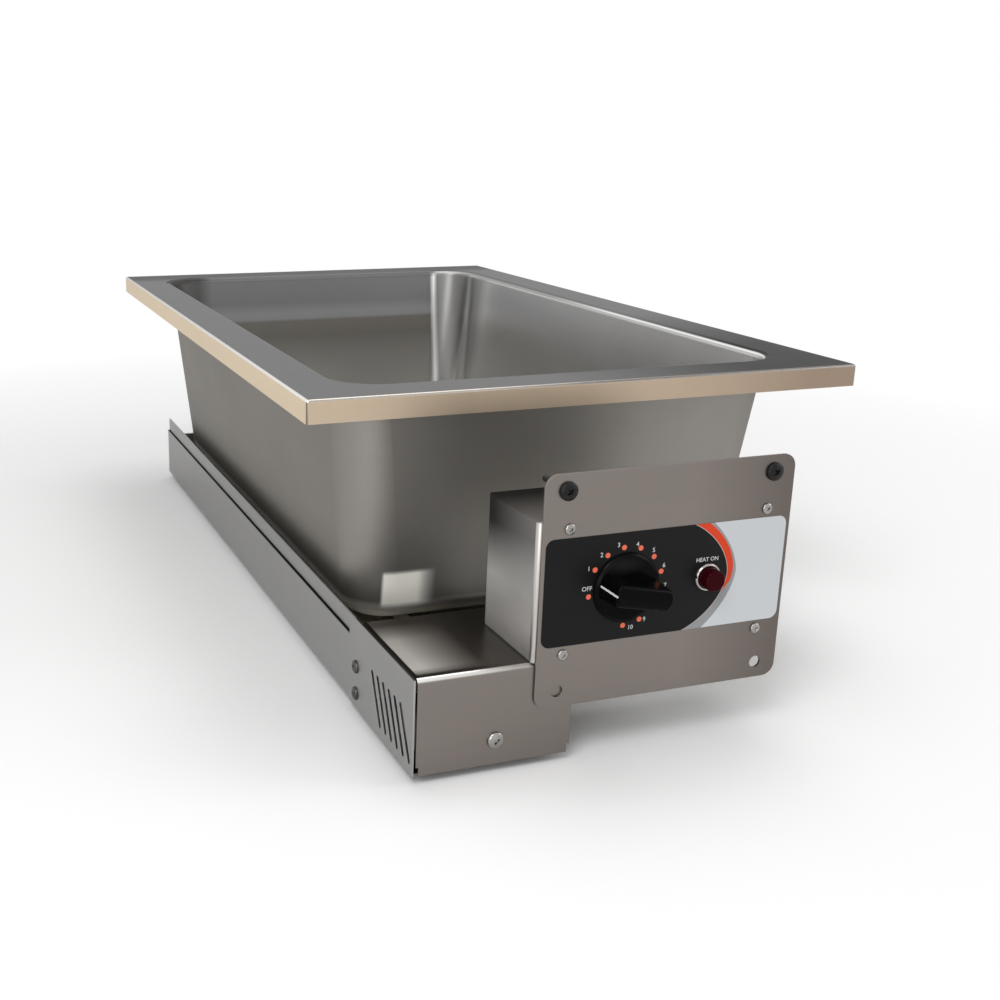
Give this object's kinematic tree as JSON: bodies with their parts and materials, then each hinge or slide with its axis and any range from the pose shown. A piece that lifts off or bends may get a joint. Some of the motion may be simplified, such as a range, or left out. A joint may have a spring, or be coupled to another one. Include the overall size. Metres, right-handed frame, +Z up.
{
  "type": "hot food well",
  "caption": "Drop-in electric hot food well: drawn steel pan with a flanged rim, heat tray below, terminal box at the front left and a panel with knob and lamp.",
  "frame": {"origin": "centre of the rim, in the plane of the skirt's lower edge, which is the counter's top", "axes": "+Z up out of the basin, +Y to the back along the long side, so that the control panel faces -Y; +X right as seen from the panel"},
  "size_m": [0.3682, 0.6852, 0.1922],
  "materials": {
    "brushed_pan": "brushed stainless steel",
    "tray_sheet": "mill-finish stainless sheet",
    "panel_sheet": "brushed stainless sheet",
    "gasket_rubber": "matt foam rubber",
    "fastener_steel": "bright steel",
    "element_sheath": "heat-tinted alloy sheath",
    "ceramic": "unglazed ceramic",
    "insulation": "mineral fibre blanket",
    "copper": "drawn copper",
    "dark_moulding": "black moulding",
    "terminal_brass": "plain brass",
    "overlay_film": "satin printed film",
    "black_screw": "black oxide",
    "knob_plastic": "black phenolic moulding",
    "white_inlay": "white paint in a groove",
    "bezel_chrome": "polished chrome",
    "lamp_red": "dark red lens, unlit",
    "lead_sleeve": "glass-braid sleeve"
  },
  "bodies": {
    "well": {"well_pan": "brushed_pan", "rim_gasket": "gasket_rubber", "weld_studs": "fastener_steel", "strap_nuts": "fastener_steel", "cover_nuts": "fastener_steel", "heating_element": "element_sheath", "element_insulators": "ceramic", "element_pins": "fastener_steel", "element_straps": "tray_sheet", "insulation_blanket": "insulation", "heat_tray": "tray_sheet", "bottom_cover": "tray_sheet", "neck_lid": "tray_sheet", "temperature_bulb": "copper", "bulb_clips": "tray_sheet", "capillary_tube": "copper", "safety_thermostat": "dark_moulding", "terminal_box": "tray_sheet", "terminal_box_lid": "panel_sheet", "lid_screw": "fastener_steel", "side_screws": "fastener_steel", "terminal_block": "ceramic", "terminal_clamps": "terminal_brass", "earth_stud": "terminal_brass", "supply_bushing": "dark_moulding", "panel_bushing": "dark_moulding", "control_housing": "tray_sheet", "control_plate": "panel_sheet", "panel_overlay": "overlay_film", "plate_screws": "fastener_steel", "counter_screws": "black_screw", "thermostat_body": "ceramic", "thermostat_terminals": "terminal_brass", "thermostat_screws": "fastener_steel", "lamp_bezel": "bezel_chrome", "lamp_lens": "lamp_red", "lamp_barrel": "lamp_red", "lamp_nut": "dark_moulding", "element_lead_left": "lead_sleeve", "element_lead_right": "lead_sleeve", "thermostat_lead": "lead_sleeve", "lamp_lead": "lead_sleeve"},
    "knob": {"control_knob": "knob_plastic", "knob_pointer": "white_inlay", "knob_spring": "fastener_steel", "thermostat_shaft": "fastener_steel"}
  },
  "joints": [
    {"name": "knob_turn", "type": "hinge", "parent": "well", "child": "knob", "pos_m": [-0.0333, -0.377, -0.0788], "axis": [0, 1, 0], "range_deg": [-19, 262]}
  ]
}
